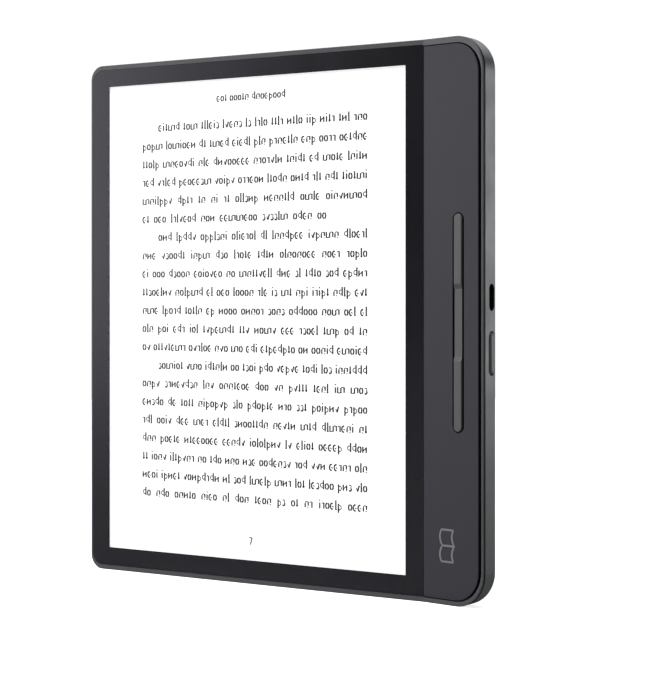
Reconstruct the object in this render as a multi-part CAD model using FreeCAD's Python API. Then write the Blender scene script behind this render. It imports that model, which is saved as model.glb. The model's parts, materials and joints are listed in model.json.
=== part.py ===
"""Hand-held e-reader with a raised page-turn grip, built as separate named pieces.

Millimetres. The reader stands upright: +Z runs up its height, +X is the reader's right
(the grip side), and the screen looks along -Y. The origin is at the middle of the bottom
edge, with Y = 0 halfway through the thickest part. The grip pieces are drawn flat in the
grip's own plane (u across, w into the body) and then tilted about the crease.
"""
import FreeCAD
import Part
import math
import os

V = FreeCAD.Vector
X_AXIS, Y_AXIS, Z_AXIS = V(1, 0, 0), V(0, 1, 0), V(0, 0, 1)

# ================================================================ driving dimensions
WIDTH, HEIGHT, DEPTH = 160.0, 177.7, 8.5
THIN_DEPTH = 4.7                       # thickness of the flat part beside the grip
GRIP_WIDTH = 23.6                      # from the crease to the right-hand edge
R_LEFT, R_RIGHT = 5.0, 10.8            # outline corner radii, left and right
R_FRONT_EDGE, R_BACK_EDGE = 0.35, 1.2
R_CREASE = 8.0

# shells
WALL = 1.4                             # side walls of the back cover
FLOOR = 1.1                            # back of the back cover
SEAM_FRONT, SEAM_BACK = 1.15, 1.40     # depths below the front: frame's step ends, cover starts
LIP_FRONT, LIP_BACK = 0.45, 0.95       # the open seam outside: frame's rim ends, cover's lip starts
LIP_T, STEP_IN = 0.45, 0.55            # cover's lip, and how far the frame steps in behind it
FRAME_DEPTH = 1.6                      # ledges and deck of the front frame
SKIRT_OUT, SKIRT_IN = 1.5, 2.9         # skirt of the front frame, inside the cover's wall
GASKET_OUT, GASKET_IN = 0.55, 1.25

# screen
RIM_LEFT, RIM_TOP, LENS_GAP = 0.9, 1.6, 0.1
LENS_T, MASK_T, GLUE_T = 0.70, 0.08, 0.10
ACTIVE = (-72.1, 49.8, 7.8, 170.1)     # left, right, bottom, top of the page area
TOUCH_T, GUIDE_T, DISPLAY_T, FILM_T = 0.15, 0.35, 0.70, 0.07
LEDGE = 2.5
CROSSBAR_X = 52.9                      # left edge of the bar behind the crease
SHEET_MARGIN = 0.4
LED_BAND = 1.7                         # strip of the window's foot kept for the front light
LED_COUNT, LED_SIZE, LED_SPAN = 10, (1.6, 0.30, 0.6), (-66.0, 46.0)
CHASSIS_T = 0.45

# page-turn strip
STRIP_X, STRIP_Z = 70.24, 88.4
STRIP_LENGTH, STRIP_WIDTH = 67.9, 3.1
STRIP_RISE, STRIP_DIP = 0.45, 0.075
STRIP_MIDDLE, STRIP_MIDDLE_WIDTH, STRIP_RAMP = 21.1, 2.95, 1.5
SLOT_SIDE_GAP, SLOT_END_GAP = 0.72, 0.40
STRIP_BODY = 0.6                       # how far the strip reaches below the plate
FOOT_Z, FOOT_R, FOOT_END = 28.0, 0.9, 2.60
PIN_R, PIN_BORE_R, PIN_LENGTH, PIN_DEPTH = 0.50, 0.55, 7.2, 1.95
PIVOT_COVER = 0.9                      # material round the pin
SWITCH_TOP, SWITCH_SIDE = 0.32, 3.4

# grip plate, in its own plane
PANEL_T, TAPE_T, RIM_ABOVE, RIM_BELOW = 1.0, 0.15, 2.2, 1.75
PANEL_RIGHT, POCKET_RIGHT = 78.05, 79.2
PANEL_TOP_GAP, R_PANEL = 0.25, 9.5

# right-hand side wall: power key and port, both centred on one line
SIDE_Y = 1.10
KEY_Z, KEY_LENGTH, KEY_WIDTH, KEY_GAP, KEY_PROUD, KEY_ROUND = 78.9, 13.2, 3.2, 0.35, 0.50, 0.8
KEY_FLANGE, KEY_FLANGE_T, KEY_STEM_END, KEY_TRAVEL = (1.8, 0.8), 0.5, 77.2, 0.30
PORT_Z, PORT_LENGTH, PORT_WIDTH = 96.3, 8.5, 3.3
SHELL_X0, SHELL_X1 = 73.6, 78.55
SHELL_LENGTH, SHELL_WIDTH, SHELL_T = 7.4, 2.5, 0.25
PIN_COUNT, PIN_PITCH = 5, 0.65

# battery and main board: (left, right, bottom, top)
BATTERY_HOLE = (-64.0, 36.0, 26.0, 128.0)
BATTERY = (-62.5, 34.5, 27.5, 124.0)
BOARD = (57.6, 76.4, 42.0, 137.0)
BOARD_Y, BOARD_T = 1.90, 0.70
CAN, CAN_H, CAN_T = (61.8, 68.4, 102.0, 112.5), 0.95, 0.15
CHASSIS_SCREW_X, CHASSIS_SCREWS_Z = 54.6, (12.0, 50.0, 112.0, 165.0)
SCREW_R, HEAD_R, HEAD_T = 0.5, 1.0, 0.42

# flexible circuits: Z ranges where each one crosses to the board
FLEX_T, FLEX_X, FLEX_Y, FLEX_END = 0.10, 52.62, 1.35, 58.6
TOUCH_FLEX_Z, DISPLAY_FLEX_Z, LIGHT_FLEX_Z = (90.0, 98.0), (58.0, 80.0), (51.5, 55.5)
LEAD_Z, LEAD_LIFT, LEAD_T = (69.0, 74.0), 0.08, 0.20
INSIDE_GAP = 0.07                      # clearance to the inside of the back cover

# ================================================================ worked-out places
BACK_Y = DEPTH / 2
FRONT_Y = BACK_Y - THIN_DEPTH
HALF = WIDTH / 2
WALL_X = HALF - WALL
CREASE_X = HALF - GRIP_WIDTH
SLOPE = (DEPTH - THIN_DEPTH) / (GRIP_WIDTH - R_FRONT_EDGE)
TILT = math.degrees(math.atan(SLOPE))
COS, SIN = math.cos(math.radians(TILT)), math.sin(math.radians(TILT))
INNER_BACK = BACK_Y - FLOOR
LENS_BACK = FRONT_Y + LENS_T
MASK_BACK = LENS_BACK + MASK_T
GLUE_BACK = MASK_BACK + GLUE_T
TOUCH_BACK = MASK_BACK + TOUCH_T
GUIDE_BACK = TOUCH_BACK + GUIDE_T
DISPLAY_BACK = GUIDE_BACK + DISPLAY_T
CHASSIS_FRONT = DISPLAY_BACK + FILM_T
CHASSIS_BACK = CHASSIS_FRONT + CHASSIS_T
LED_STRIP_Y = TOUCH_BACK + LED_SIZE[1] + 0.02
BOARD_BACK = BOARD_Y + BOARD_T
LEAD_Y = (BOARD_BACK + LEAD_LIFT, BOARD_BACK + LEAD_LIFT + LEAD_T)
LENS = (-HALF + RIM_LEFT + LENS_GAP, CREASE_X - LENS_GAP / 2, RIM_TOP + LENS_GAP, HEIGHT - RIM_TOP - LENS_GAP)
R_LENS = R_LEFT - RIM_LEFT - LENS_GAP
WINDOW = (-HALF + RIM_LEFT + LEDGE, CROSSBAR_X, RIM_TOP + LEDGE, HEIGHT - RIM_TOP - LEDGE)
BOARD_SCREWS = [(x, z) for x in (61.0, 74.0) for z in (BOARD[2] + 3, BOARD[3] - 3)]
STRIP_U = (STRIP_X - CREASE_X) / COS
PANEL_U = (PANEL_RIGHT - CREASE_X) / COS
KEY_FLANGE_X = WALL_X - KEY_FLANGE_T


# ================================================================ shape helpers
def box(x0, x1, y0, y1, z0, z1):
    return Part.makeBox(x1 - x0, y1 - y0, z1 - z0, V(x0, y0, z0))


def centred_box(x, width, y0, y1, z, height):
    return box(x - width / 2, x + width / 2, y0, y1, z - height / 2, z + height / 2)


def rod(radius, start, axis, length):
    return Part.makeCylinder(radius, length, start, axis)


def fuse(shapes):
    return shapes[0].multiFuse(shapes[1:]).removeSplitter()


def rounded_face(x0, x1, z0, z1, r_left, r_right, y):
    """A flat XZ rectangle at depth y, with its own left and right corner radii."""
    corners = (
        (x0 + r_left, z0 + r_left, r_left, 180),
        (x1 - r_right, z0 + r_right, r_right, 270),
        (x1 - r_right, z1 - r_right, r_right, 0),
        (x0 + r_left, z1 - r_left, r_left, 90),
    )
    arcs = []
    for cx, cz, r, start in corners:
        turns = [math.radians(start + step) for step in (0, 45, 90)]
        arcs.append([V(cx + r * math.cos(a), y, cz + r * math.sin(a)) for a in turns])
    edges = []
    for i, arc in enumerate(arcs):
        edges.append(Part.Arc(*arc).toShape())
        edges.append(Part.LineSegment(arc[2], arcs[(i + 1) % 4][0]).toShape())
    return Part.Face(Part.Wire(edges))


def plate(x0, x1, z0, z1, y0, y1, r_left=0.3, r_right=0.3):
    """A plate between depths y0 and y1."""
    return rounded_face(x0, x1, z0, z1, r_left, r_right, y0).extrude(V(0, y1 - y0, 0))


def outline(inset, y0=-6.0, y1=6.0):
    """The reader's outline, pulled in by inset, as a prism through the whole depth."""
    r_left = max(R_LEFT - inset, 0.3)
    r_right = max(R_RIGHT - inset, 0.3)
    return plate(-HALF + inset, HALF - inset, inset, HEIGHT - inset, y0, y1, r_left, r_right)


def front_at(x, drop=0.0):
    """Depth of the front surface at x, plus drop."""
    return FRONT_Y + drop - max(0.0, x - CREASE_X) * SLOPE


def front_edges(drop):
    """The front's profile in plan, from left to right, drop below the surface."""
    reach = HALF + 2
    tangent = R_CREASE * math.tan(math.radians(TILT / 2))
    flat_end = V(CREASE_X - tangent, FRONT_Y + drop, 0)
    tilt_start = V(CREASE_X + tangent * COS, FRONT_Y + drop - tangent * SIN, 0)
    turn = math.radians(90 - TILT / 2)
    middle = flat_end + V(R_CREASE * math.cos(turn), R_CREASE * (math.sin(turn) - 1), 0)
    left = V(-reach, FRONT_Y + drop, 0)
    right = V(reach, front_at(reach, drop), 0)
    return [
        Part.LineSegment(left, flat_end).toShape(),
        Part.Arc(flat_end, middle, tilt_start).toShape(),
        Part.LineSegment(tilt_start, right).toShape(),
    ]


def layer(drop, drop_back=None, back_y=None):
    """The space from the front profile + drop back to profile + drop_back, or to a plane."""
    front = front_edges(drop)
    start, end = front[0].Vertexes[0].Point, front[-1].Vertexes[-1].Point
    if back_y is None:
        back = front_edges(drop_back)
        far_start, far_end = back[0].Vertexes[0].Point, back[-1].Vertexes[-1].Point
    else:
        far_start, far_end = V(start.x, back_y, 0), V(end.x, back_y, 0)
        back = [Part.LineSegment(far_start, far_end).toShape()]
    sides = [Part.LineSegment(end, far_end).toShape(), Part.LineSegment(far_start, start).toShape()]
    wire = Part.Wire(Part.__sortEdges__(front + back + sides))
    return Part.Face(wire).extrude(V(0, 0, HEIGHT + 4)).translated(V(0, 0, -2))


def round_edges(shape, radius, wanted):
    """Round the edges whose middle point passes the test."""
    edges = []
    for edge in shape.Edges:
        if wanted(edge.valueAt((edge.FirstParameter + edge.LastParameter) / 2)):
            edges.append(edge)
    return shape.makeFillet(radius, edges)


def on_outline(point):
    """True for a point on the reader's outer side surface."""
    x, z = point.x, point.z
    for side, r in ((-1, R_LEFT), (1, R_RIGHT)):
        cx = side * (HALF - r)
        if side * (x - cx) > 0.01:
            for cz, end in ((r, -1), (HEIGHT - r, 1)):
                if end * (z - cz) > 0.01:
                    return abs(math.hypot(x - cx, z - cz) - r) < 0.02
    return min(HALF - abs(x), z, HEIGHT - z) < 0.02


def tilt(shape):
    """Move a piece drawn in the grip's plane (u, w, z) to its place in the body."""
    placed = shape.copy()
    placed.rotate(V(0, 0, 0), Z_AXIS, -TILT)
    placed.translate(V(CREASE_X, FRONT_Y, 0))
    return placed


def stadium_x(length, width, x0, x1, y, z):
    """A round-ended bar lying along Z, run from x0 to x1."""
    r = width / 2
    bottom, top = z - length / 2 + r, z + length / 2 - r
    edges = [
        Part.Arc(V(x0, y - r, top), V(x0, y, top + r), V(x0, y + r, top)).toShape(),
        Part.LineSegment(V(x0, y + r, top), V(x0, y + r, bottom)).toShape(),
        Part.Arc(V(x0, y + r, bottom), V(x0, y, bottom - r), V(x0, y - r, bottom)).toShape(),
        Part.LineSegment(V(x0, y - r, bottom), V(x0, y - r, top)).toShape(),
    ]
    return Part.Face(Part.Wire(edges)).extrude(V(x1 - x0, 0, 0))


def stadium_w(length, width, w0, w1):
    """A round-ended bar on the page-turn strip's centre line, from depth w0 to w1."""
    r = width / 2
    low, high = STRIP_Z - length / 2 + r, STRIP_Z + length / 2 - r
    left, right = STRIP_U - r, STRIP_U + r
    edges = [
        Part.Arc(V(right, w0, high), V(STRIP_U, w0, high + r), V(left, w0, high)).toShape(),
        Part.LineSegment(V(left, w0, high), V(left, w0, low)).toShape(),
        Part.Arc(V(left, w0, low), V(STRIP_U, w0, low - r), V(right, w0, low)).toShape(),
        Part.LineSegment(V(right, w0, low), V(right, w0, high)).toShape(),
    ]
    return Part.Face(Part.Wire(edges)).extrude(V(0, w1 - w0, 0))


# ================================================================ shells
def back_cover():
    """Rear shell: floor and side walls, with the key's and the port's holes."""
    body = outline(0).common(layer(LIP_BACK, back_y=BACK_Y))
    body = round_edges(body, R_BACK_EDGE, lambda p: abs(p.y - BACK_Y) < 0.01 and on_outline(p))
    body = body.cut(outline(WALL, y1=INNER_BACK))
    body = body.cut(outline(LIP_T).common(layer(0, SEAM_BACK)))
    key_size = (KEY_LENGTH + 2 * KEY_GAP, KEY_WIDTH + 2 * KEY_GAP)
    body = body.cut(stadium_x(*key_size, WALL_X - 1, HALF + 1, SIDE_Y, KEY_Z))
    return body.cut(stadium_x(PORT_LENGTH, PORT_WIDTH, WALL_X - 1, HALF + 1, SIDE_Y, PORT_Z))


def boss_posts():
    """Posts that carry the main board under the deck, and short ones behind the crossbar."""
    posts = []
    for x, z in BOARD_SCREWS:
        start = front_at(x, SEAM_FRONT + 0.1)
        posts.append(rod(1.4, V(x, start, z), Y_AXIS, BOARD_Y - start))
    start = FRONT_Y + FRAME_DEPTH - 0.2
    for z in CHASSIS_SCREWS_Z:
        posts.append(rod(1.3, V(CHASSIS_SCREW_X, start, z), Y_AXIS, CHASSIS_FRONT - start))
    return posts


def lens_pocket():
    x0, z0, z1 = -HALF + RIM_LEFT, RIM_TOP, HEIGHT - RIM_TOP
    return plate(x0, CREASE_X, z0, z1, FRONT_Y - 1, GLUE_BACK, R_LEFT - RIM_LEFT, 0.3)


def panel_pocket():
    right = (POCKET_RIGHT - CREASE_X) / COS
    low, high = RIM_BELOW - PANEL_TOP_GAP, HEIGHT - RIM_ABOVE + PANEL_TOP_GAP
    return tilt(plate(0, right, low, high, -2, PANEL_T + TAPE_T, 0.3, R_PANEL + 0.6))


def front_frame():
    """Rim, lens ledge, grip deck and the skirt that drops inside the back cover."""
    rim = outline(0).common(layer(0, LIP_FRONT))
    rim = round_edges(rim, R_FRONT_EDGE, lambda p: abs(p.y - front_at(p.x)) < 0.06 and on_outline(p))
    step = outline(STEP_IN).common(layer(LIP_FRONT - 0.1, SEAM_FRONT))
    ledges = outline(SKIRT_OUT).common(layer(SEAM_FRONT - 0.1, FRAME_DEPTH))
    skirt = outline(SKIRT_OUT).cut(outline(SKIRT_IN))
    skirt = skirt.common(layer(SEAM_FRONT - 0.1, CHASSIS_FRONT - FRONT_Y))
    frame = fuse([rim, step, ledges, skirt] + boss_posts())
    frame = frame.cut(lens_pocket()).cut(panel_pocket())
    frame = frame.cut(plate(*WINDOW, FRONT_Y - 1, CHASSIS_BACK))
    frame = frame.cut(box(60.3, BOARD[1], -5, CHASSIS_BACK, BOARD[2] + 6, BOARD[3] - 6))
    for x, z in BOARD_SCREWS:
        frame = frame.cut(rod(SCREW_R, V(x, front_at(x, SEAM_FRONT + 0.2), z), Y_AXIS, 5))
    for z in CHASSIS_SCREWS_Z:
        frame = frame.cut(rod(SCREW_R, V(CHASSIS_SCREW_X, GLUE_BACK + 0.2, z), Y_AXIS, 3))
    return frame


def perimeter_gasket():
    """Soft ring in the seam between front frame and back cover."""
    return outline(GASKET_OUT).cut(outline(GASKET_IN)).common(layer(SEAM_FRONT, SEAM_BACK))


# ================================================================ screen stack
def screen_lens():
    return plate(*LENS, FRONT_Y, LENS_BACK, R_LENS)


def lens_mask():
    """Black border behind the lens, open over the page area."""
    left, right, bottom, top = ACTIVE
    film = plate(*LENS, LENS_BACK, MASK_BACK, R_LENS)
    return film.cut(box(left, right, FRONT_Y, GLUE_BACK, bottom, top))


def lens_adhesive():
    x0, x1, z0, z1 = LENS
    inset = 0.2
    ring = plate(x0 + inset, x1 - inset, z0 + inset, z1 - inset, MASK_BACK, GLUE_BACK, R_LENS - inset)
    return ring.cut(plate(*WINDOW, FRONT_Y, GLUE_BACK + 1))


def inner_sheet(y0, y1, side=SHEET_MARGIN, bottom=SHEET_MARGIN, top=SHEET_MARGIN):
    """A sheet that fills the window of the front frame, with its own margins."""
    x0, x1, z0, z1 = WINDOW
    return box(x0 + side, x1 - side - 0.1, y0, y1, z0 + bottom, z1 - top)


def touch_sensor():
    return inner_sheet(MASK_BACK, TOUCH_BACK)


def light_guide():
    return inner_sheet(TOUCH_BACK, GUIDE_BACK, bottom=SHEET_MARGIN + LED_BAND)


def display_panel():
    return inner_sheet(GUIDE_BACK, DISPLAY_BACK, side=0.8, bottom=SHEET_MARGIN + LED_BAND, top=0.8)


def display_adhesive():
    """Film that bonds the display to the chassis plate, open over the battery."""
    left, right, bottom, top = BATTERY_HOLE
    sheet = inner_sheet(DISPLAY_BACK, CHASSIS_FRONT, side=1.2, bottom=3.0, top=1.2)
    return sheet.cut(box(left, right, 0, 3, bottom, top))


def led_strip():
    z0 = WINDOW[2] + SHEET_MARGIN
    return box(-70.0, 50.0, LED_STRIP_Y, LED_STRIP_Y + 0.15, z0, z0 + LED_BAND - 0.1)


def front_leds():
    """White LEDs on the strip, facing the foot of the light guide."""
    width, depth, height = LED_SIZE
    first, last = LED_SPAN
    z = WINDOW[2] + SHEET_MARGIN + LED_BAND - 0.1 - height / 2
    leds = []
    for i in range(LED_COUNT):
        x = first + i * (last - first) / (LED_COUNT - 1)
        leds.append(centred_box(x, width, LED_STRIP_Y - depth, LED_STRIP_Y, z, height))
    return Part.makeCompound(leds)


# ================================================================ flexible circuits
def stepped_flex(z0, z1, x_start, y_start):
    """A flex that leaves a sheet's right edge, drops behind the crossbar and runs to the board."""
    tab = box(x_start, FLEX_X + FLEX_T, y_start, y_start + FLEX_T, z0, z1)
    drop = box(FLEX_X, FLEX_X + FLEX_T, y_start, FLEX_Y + FLEX_T, z0, z1)
    run = box(FLEX_X, FLEX_END, FLEX_Y, FLEX_Y + FLEX_T, z0, z1)
    return fuse([tab, drop, run])


def touch_flex():
    return stepped_flex(*TOUCH_FLEX_Z, WINDOW[1] - 0.5, MASK_BACK + 0.02)


def display_flex():
    return stepped_flex(*DISPLAY_FLEX_Z, WINDOW[1] - 0.9, GUIDE_BACK + 0.3)


def frontlight_flex():
    """Runs from the LED strip's end up beside the display, then across to the board."""
    z0 = WINDOW[2] + 0.5
    foot = box(50.0, FLEX_X + FLEX_T, LED_STRIP_Y, LED_STRIP_Y + FLEX_T, z0, z0 + 1.2)
    riser = box(FLEX_X, FLEX_X + FLEX_T, LED_STRIP_Y, LED_STRIP_Y + 0.6, z0, LIGHT_FLEX_Z[1])
    drop = box(FLEX_X, FLEX_X + FLEX_T, LED_STRIP_Y, FLEX_Y + FLEX_T, *LIGHT_FLEX_Z)
    run = box(FLEX_X, FLEX_END, FLEX_Y, FLEX_Y + FLEX_T, *LIGHT_FLEX_Z)
    return fuse([foot, riser, drop, run])


def flex_connector(z_range):
    """Board connector that a flex slides into from the left."""
    z0, z1 = z_range
    body = box(FLEX_END - 0.9, 61.6, FLEX_Y - 0.15, BOARD_Y, z0 - 0.8, z1 + 0.8)
    return body.cut(box(FLEX_END - 2, FLEX_END, FLEX_Y, FLEX_Y + FLEX_T, z0, z1))


# ================================================================ chassis and power
def chassis_plate():
    """Metal plate behind the display, with a hole for the battery and lightening slots."""
    sheet = outline(SKIRT_OUT + 0.2).common(box(-HALF, 56.0, CHASSIS_FRONT, CHASSIS_BACK, 0, HEIGHT))
    sheet = sheet.cut(plate(*BATTERY_HOLE, 0, 4, 2.0, 2.0))
    for i in range(5):
        left = -60.0 + i * 20.0
        sheet = sheet.cut(plate(left, left + 14.0, 138.0, 164.0, 0, 4, 2.0, 2.0))
    for z in CHASSIS_SCREWS_Z:
        sheet = sheet.cut(rod(SCREW_R + 0.05, V(CHASSIS_SCREW_X, 0, z), Y_AXIS, 4))
    return sheet


def screw(x, y_head, y_tip, z):
    """Small pan-head screw driven from the back, with a cross slot in its head."""
    y_top = y_head + HEAD_T
    head = rod(HEAD_R, V(x, y_head, z), Y_AXIS, HEAD_T)
    head = round_edges(head, 0.12, lambda p: abs(p.y - y_top) < 0.001)
    for width, height in ((1.1, 0.25), (0.25, 1.1)):
        head = head.cut(centred_box(x, width, y_top - 0.2, y_top + 1, z, height))
    return fuse([head, rod(SCREW_R, V(x, y_tip, z), Y_AXIS, y_head - y_tip)])


def chassis_screws():
    tip = GLUE_BACK + 0.25
    return Part.makeCompound([screw(CHASSIS_SCREW_X, CHASSIS_BACK, tip, z) for z in CHASSIS_SCREWS_Z])


def board_screws():
    screws = [screw(x, BOARD_BACK, front_at(x, SEAM_FRONT + 0.3), z) for x, z in BOARD_SCREWS]
    return Part.makeCompound(screws)


def battery():
    """Flat pouch cell with its protection tab along the top."""
    x0, x1, z0, z1 = BATTERY
    cell = plate(x0, x1, z0, z1, DISPLAY_BACK + TAPE_T, INNER_BACK - INSIDE_GAP, 1.0, 1.0)
    tab = box(x0 + 20, x1 - 20, DISPLAY_BACK + 0.6, DISPLAY_BACK + 1.3, z1, z1 + 2.5)
    return fuse([cell, tab])


def battery_tape():
    """Two pull-tab strips that hold the cell to the back of the display."""
    strips = [box(x, x + 18, DISPLAY_BACK, DISPLAY_BACK + TAPE_T, 32, 120) for x in (-56.0, 10.0)]
    return Part.makeCompound(strips)


def battery_lead():
    return box(BATTERY[1], 58.9, *LEAD_Y, *LEAD_Z)


def battery_connector():
    body = box(58.2, 62.2, BOARD_BACK, INNER_BACK - INSIDE_GAP, LEAD_Z[0] - 0.7, LEAD_Z[1] + 0.7)
    return body.cut(box(50, 58.9, *LEAD_Y, *LEAD_Z))


# ================================================================ main board and its parts
def main_board():
    """Long narrow board in the grip, notched for the port."""
    board = plate(*BOARD, BOARD_Y, BOARD_BACK, 1.0, 1.0)
    for x, z in BOARD_SCREWS:
        board = board.cut(rod(SCREW_R + 0.1, V(x, 0, z), Y_AXIS, 5))
    half = SHELL_LENGTH / 2 + 0.1
    return board.cut(box(SHELL_X0, BOARD[1] + 1, 0, 5, PORT_Z - half, PORT_Z + half))


def chip(x, z, width, height, thick):
    """A package on the board's front, with its top edges broken."""
    package = centred_box(x, width, BOARD_Y - thick, BOARD_Y, z, height)
    return round_edges(package, 0.06, lambda p: abs(p.y - BOARD_Y + thick) < 0.001)


def shield_can():
    """Thin metal can over the processor, open towards the board."""
    x0, x1, z0, z1 = CAN
    top = BOARD_Y - CAN_H
    can = box(x0, x1, top, BOARD_Y, z0, z1)
    can = round_edges(can, 0.25, lambda p: abs(p.y - top) < 0.001)
    return can.cut(box(x0 + CAN_T, x1 - CAN_T, top + CAN_T, BOARD_Y, z0 + CAN_T, z1 - CAN_T))


def wifi_antenna():
    return box(60.0, 74.0, INNER_BACK - 0.1, INNER_BACK, 146.0, 168.0)


def antenna_cable():
    """Thin coax from the board's top end to the antenna."""
    radius, x, z0, z1 = 0.17, 67.0, 132.0, 148.0
    y = BOARD_BACK + 0.2
    run = rod(radius, V(x, y, z0), Z_AXIS, z1 - z0)
    plug = rod(0.8, V(x, BOARD_BACK, z0), Y_AXIS, 0.4)
    foot = rod(radius, V(x, y, z1), Y_AXIS, INNER_BACK - 0.1 - y)
    return fuse([run, plug, foot, Part.makeSphere(radius, V(x, y, z1))])


# ================================================================ micro-USB inlet
def usb_profile(shrink, x0, x1):
    """Flat-topped port section whose back corners are cut off, pulled in by shrink."""
    length, width = SHELL_LENGTH - 2 * shrink, SHELL_WIDTH - 2 * shrink
    z0, z1 = PORT_Z - length / 2, PORT_Z + length / 2
    y0, y1 = SIDE_Y - width / 2, SIDE_Y + width / 2
    slant_z, slant_y = 0.9, width * 0.45
    points = [
        V(x0, y0, z0), V(x0, y0, z1), V(x0, y1 - slant_y, z1), V(x0, y1, z1 - slant_z),
        V(x0, y1, z0 + slant_z), V(x0, y1 - slant_y, z0), V(x0, y0, z0),
    ]
    return Part.Face(Part.makePolygon(points)).extrude(V(x1 - x0, 0, 0))


def usb_shell():
    return usb_profile(0, SHELL_X0, SHELL_X1).cut(usb_profile(SHELL_T, SHELL_X0, SHELL_X1 + 1))


def usb_tongue():
    """Plastic block that closes the shell's back, with the contact tongue."""
    block = usb_profile(SHELL_T, SHELL_X0, SHELL_X0 + 1.4)
    blade = box(SHELL_X0 + 1.3, SHELL_X1 - 0.4, SIDE_Y - 0.55, SIDE_Y + 0.05, PORT_Z - 1.85, PORT_Z + 1.85)
    return fuse([block, blade])


def usb_contacts():
    """Gilt strips on the tongue's back face."""
    strips = []
    for i in range(PIN_COUNT):
        z = PORT_Z + (i - (PIN_COUNT - 1) / 2) * PIN_PITCH
        strips.append(box(SHELL_X0 + 1.4, SHELL_X1 - 0.6, SIDE_Y + 0.05, SIDE_Y + 0.13, z - 0.15, z + 0.15))
    return Part.makeCompound(strips)


def usb_seal():
    """Soft ring between the inlet and the inside of the side wall."""
    ring = stadium_x(PORT_LENGTH + 0.9, PORT_WIDTH + 0.7, WALL_X - 0.9, WALL_X, SIDE_Y, PORT_Z)
    return ring.cut(usb_profile(0, WALL_X - 2, WALL_X + 1))


# ================================================================ power key
def power_button():
    """Round-ended key with a retaining flange inside the wall and a stem for the switch."""
    face_x = HALF + KEY_PROUD
    longer, wider = KEY_FLANGE
    cap = stadium_x(KEY_LENGTH, KEY_WIDTH, KEY_FLANGE_X, face_x, SIDE_Y, KEY_Z)
    cap = round_edges(cap, KEY_ROUND, lambda p: abs(p.x - face_x) < 0.001)
    flange = stadium_x(KEY_LENGTH + longer, KEY_WIDTH + wider, KEY_FLANGE_X, WALL_X, SIDE_Y, KEY_Z)
    stem = rod(1.0, V(KEY_STEM_END, SIDE_Y, KEY_Z), X_AXIS, 1.5)
    return fuse([cap, flange, stem])


def power_switch():
    """Side-push switch on the board; its plunger stops just past the key's travel."""
    tip = KEY_STEM_END - KEY_TRAVEL - 0.05
    body = box(72.6, 76.0, 0.35, BOARD_Y, KEY_Z - 2.6, KEY_Z + 2.6)
    plunger = box(76.0, tip, SIDE_Y - 0.4, SIDE_Y + 0.5, KEY_Z - 1.2, KEY_Z + 1.2)
    return fuse([body, plunger])


# ================================================================ grip
def grip_panel():
    """Tilted plate with the strip's slot and two lugs that hold the cross pin."""
    sheet = plate(0.05, PANEL_U, RIM_BELOW, HEIGHT - RIM_ABOVE, 0, PANEL_T, 0.3, R_PANEL)
    sheet = round_edges(sheet, 0.25, lambda p: abs(p.y) < 0.001)
    slot_size = (STRIP_LENGTH + 2 * SLOT_END_GAP, STRIP_WIDTH + 2 * SLOT_SIDE_GAP)
    sheet = sheet.cut(stadium_w(*slot_size, -1, 2))
    lug_w = (PANEL_T - 0.2, PIN_DEPTH + PIVOT_COVER)
    lug_inner = (STRIP_WIDTH / 2 + SLOT_SIDE_GAP + 0.05)
    lug_width = PIN_LENGTH / 2 - lug_inner
    lugs = []
    for side in (-1, 1):
        u = STRIP_U + side * (lug_inner + lug_width / 2)
        lugs.append(centred_box(u, lug_width, *lug_w, STRIP_Z, 2.8))
    sheet = fuse([sheet] + lugs)
    return tilt(sheet.cut(rod(PIN_R, V(STRIP_U - PIN_LENGTH, PIN_DEPTH, STRIP_Z), X_AXIS, 2 * PIN_LENGTH)))


def grip_tape():
    """Bonding tape under the plate's edges."""
    low, high, right = RIM_BELOW + 0.3, HEIGHT - RIM_ABOVE - 0.3, PANEL_U - 0.3
    ring = plate(0.3, right, low, high, PANEL_T, PANEL_T + TAPE_T, 0.3, R_PANEL - 0.3)
    opening = plate(3.6, right - 1.9, low + 2.1, high - 2.1, 0, 3, 1.0, R_PANEL - 2)
    return tilt(ring.cut(opening))


def strip_dip():
    """What is taken off the strip's middle: the dip, and its two ramps."""
    above = -STRIP_RISE - 1
    low, high = STRIP_Z - STRIP_MIDDLE / 2, STRIP_Z + STRIP_MIDDLE / 2
    points = [
        (above, low - STRIP_RAMP), (-STRIP_RISE, low - STRIP_RAMP), (STRIP_DIP, low),
        (STRIP_DIP, high), (-STRIP_RISE, high + STRIP_RAMP), (above, high + STRIP_RAMP),
        (above, low - STRIP_RAMP),
    ]
    wire = Part.makePolygon([V(STRIP_U - 5, w, z) for w, z in points])
    waste = [Part.Face(wire).extrude(V(10, 0, 0))]
    for side in (-1, 1):
        u = STRIP_U + side * (STRIP_MIDDLE_WIDTH / 2 + 1)
        waste.append(centred_box(u, 2, -2, PANEL_T + 2, STRIP_Z, STRIP_MIDDLE))
    return waste


def page_rocker():
    """One-piece strip: two raised ends, a lower middle, two feet and a pivot boss."""
    strip = stadium_w(STRIP_LENGTH, STRIP_WIDTH, -STRIP_RISE, PANEL_T + STRIP_BODY)
    strip = round_edges(strip, 0.3, lambda p: abs(p.y + STRIP_RISE) < 0.001)
    for waste in strip_dip():
        strip = strip.cut(waste)
    parts = [strip, centred_box(STRIP_U, 2.6, PANEL_T, PIN_DEPTH + PIVOT_COVER, STRIP_Z, 3.2)]
    for side in (-1, 1):
        foot = V(STRIP_U, PANEL_T, STRIP_Z + side * FOOT_Z)
        parts.append(rod(FOOT_R, foot, Y_AXIS, FOOT_END - PANEL_T))
    bore = rod(PIN_BORE_R, V(STRIP_U - PIN_LENGTH, PIN_DEPTH, STRIP_Z), X_AXIS, 2 * PIN_LENGTH)
    return tilt(fuse(parts).cut(bore))


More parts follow.
